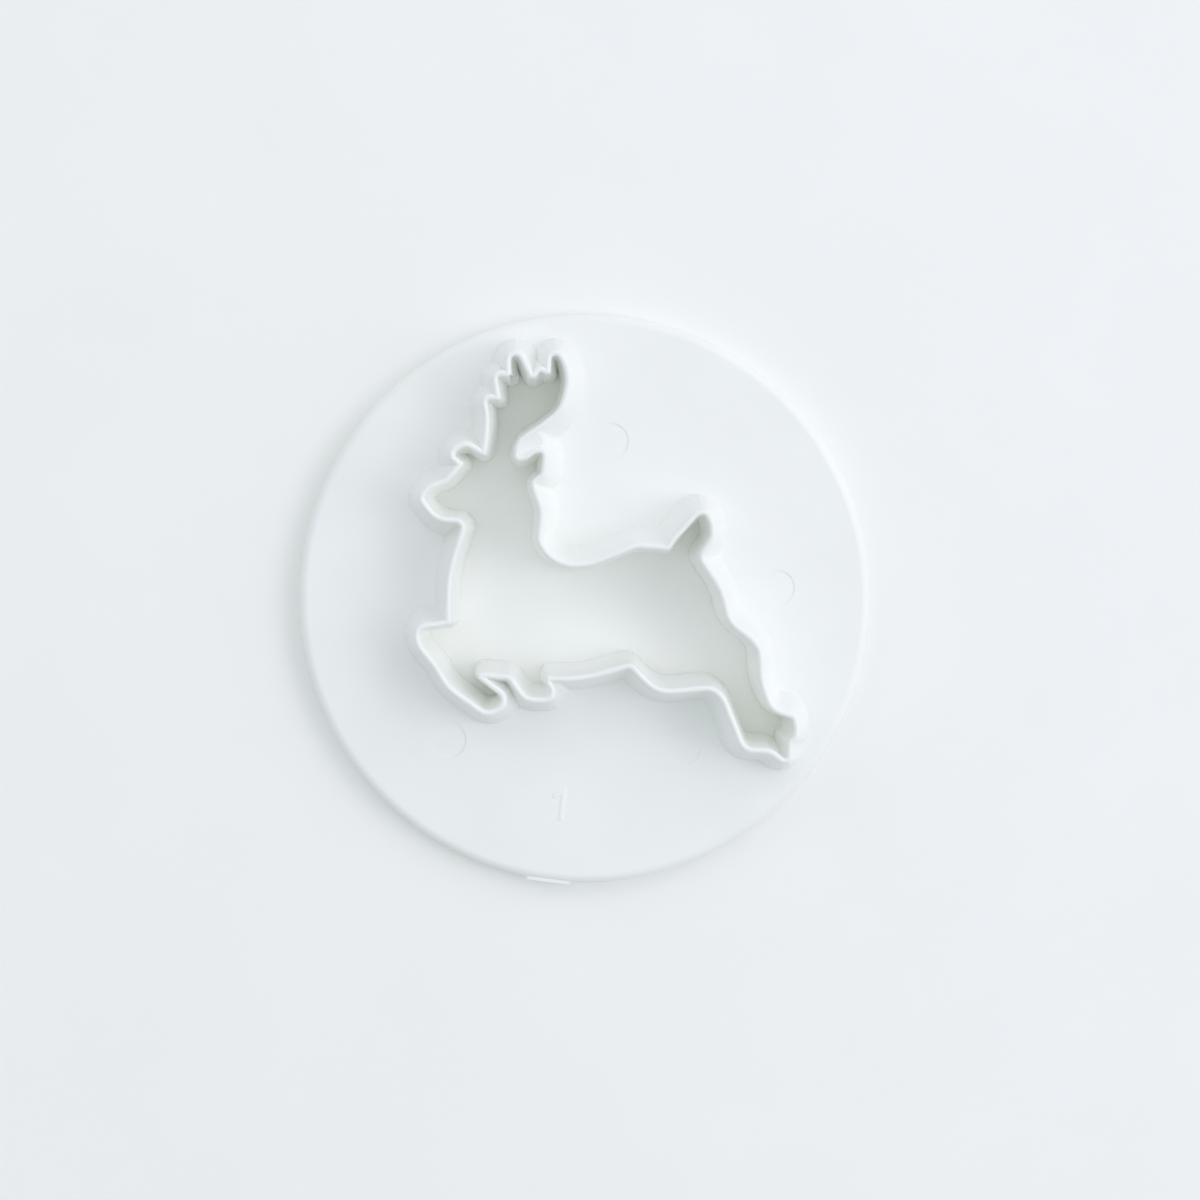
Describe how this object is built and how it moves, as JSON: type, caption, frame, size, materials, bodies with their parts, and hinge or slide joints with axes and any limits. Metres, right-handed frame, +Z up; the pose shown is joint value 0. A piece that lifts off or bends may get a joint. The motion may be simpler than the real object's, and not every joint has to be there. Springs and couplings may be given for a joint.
{
  "type": "cookie cutter",
  "caption": "Round palm disc with a raised, drafted cutter wall that cuts a leaping reindeer, moulded in one piece of white plastic.",
  "frame": {"origin": "centre of the disc on its flat underside", "axes": "+Z up through the cutting lip, -Y towards the gate at the disc's rim, +X to the reindeer's hind hoof"},
  "size_m": [0.095, 0.0952, 0.014],
  "materials": {
    "white_plastic": "satin"
  },
  "bodies": {
    "root": {"base_disc": "white_plastic", "cutter_wall": "white_plastic", "cutting_lip": "white_plastic", "gate_tab": "white_plastic"}
  },
  "joints": []
}
